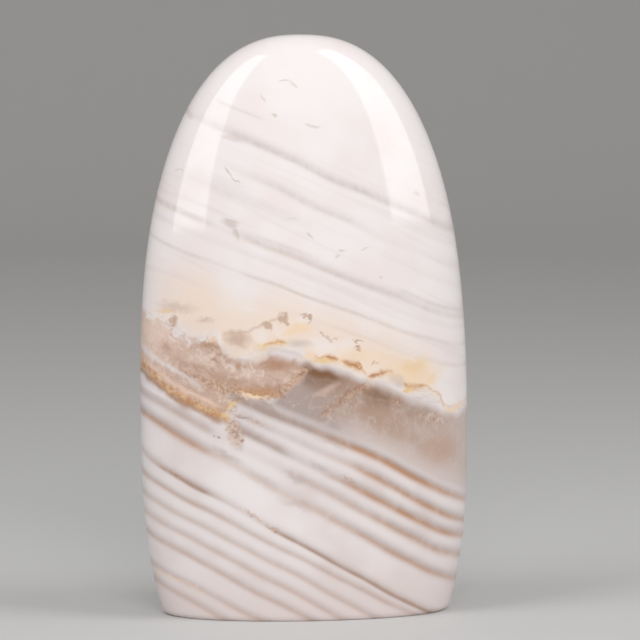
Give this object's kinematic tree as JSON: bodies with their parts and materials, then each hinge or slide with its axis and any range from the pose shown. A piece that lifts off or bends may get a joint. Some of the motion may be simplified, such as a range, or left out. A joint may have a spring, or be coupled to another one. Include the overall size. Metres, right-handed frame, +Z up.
{
  "type": "polished banded agate stone",
  "caption": "Free-standing arch-shaped piece of polished white agate with slanting tan and grey bands, on a flat ground base.",
  "frame": {"origin": "middle of the bounding box's footprint, on the flat base", "axes": "+Z up from the base to the top of the arch, +X to the right seen from the front, the front face towards -Y"},
  "size_m": [0.0741, 0.036, 0.13],
  "materials": {
    "agate": "polished, glossy"
  },
  "bodies": {
    "root": {"stone": "agate"}
  },
  "joints": []
}
